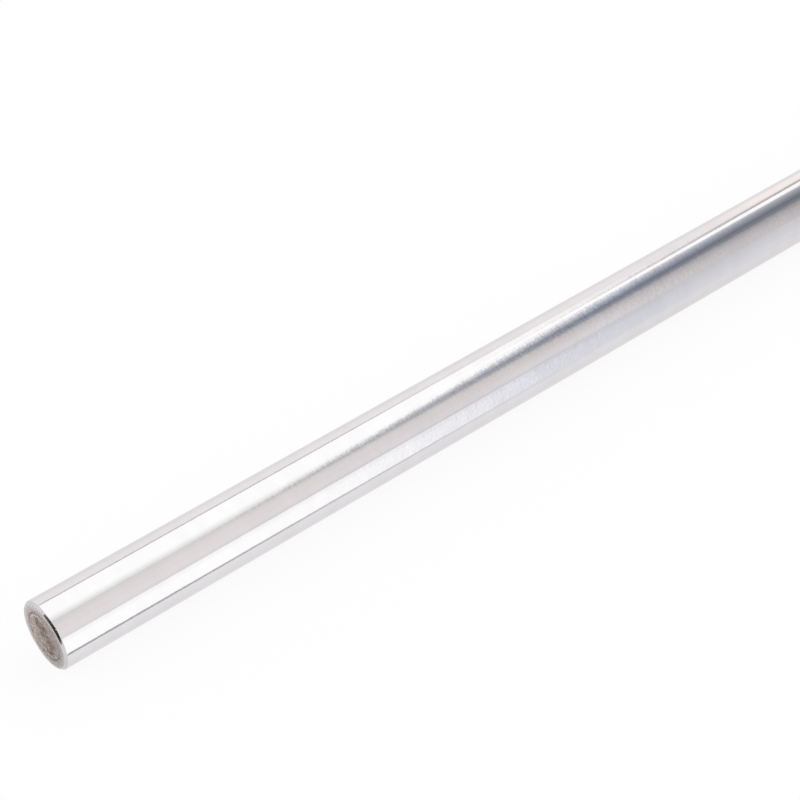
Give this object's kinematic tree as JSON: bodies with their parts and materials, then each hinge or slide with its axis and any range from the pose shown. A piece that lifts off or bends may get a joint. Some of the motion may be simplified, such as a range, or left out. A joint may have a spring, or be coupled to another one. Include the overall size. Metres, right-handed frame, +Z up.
{
  "type": "linear shaft",
  "caption": "Straight round steel bar, ground and hard-chromed to a mirror finish and chamfered at both ends, on which linear bushings slide.",
  "frame": {"origin": "on the shaft's axis, halfway between its two end faces", "axes": "+X along the shaft's axis, away from the end that the picture shows; +Z up, as the shaft lies on a level floor; +Y completes a right-handed frame"},
  "size_m": [0.3, 0.012, 0.012],
  "materials": {
    "hard_chrome": "polished"
  },
  "bodies": {
    "root": {"shaft": "hard_chrome"}
  },
  "joints": []
}
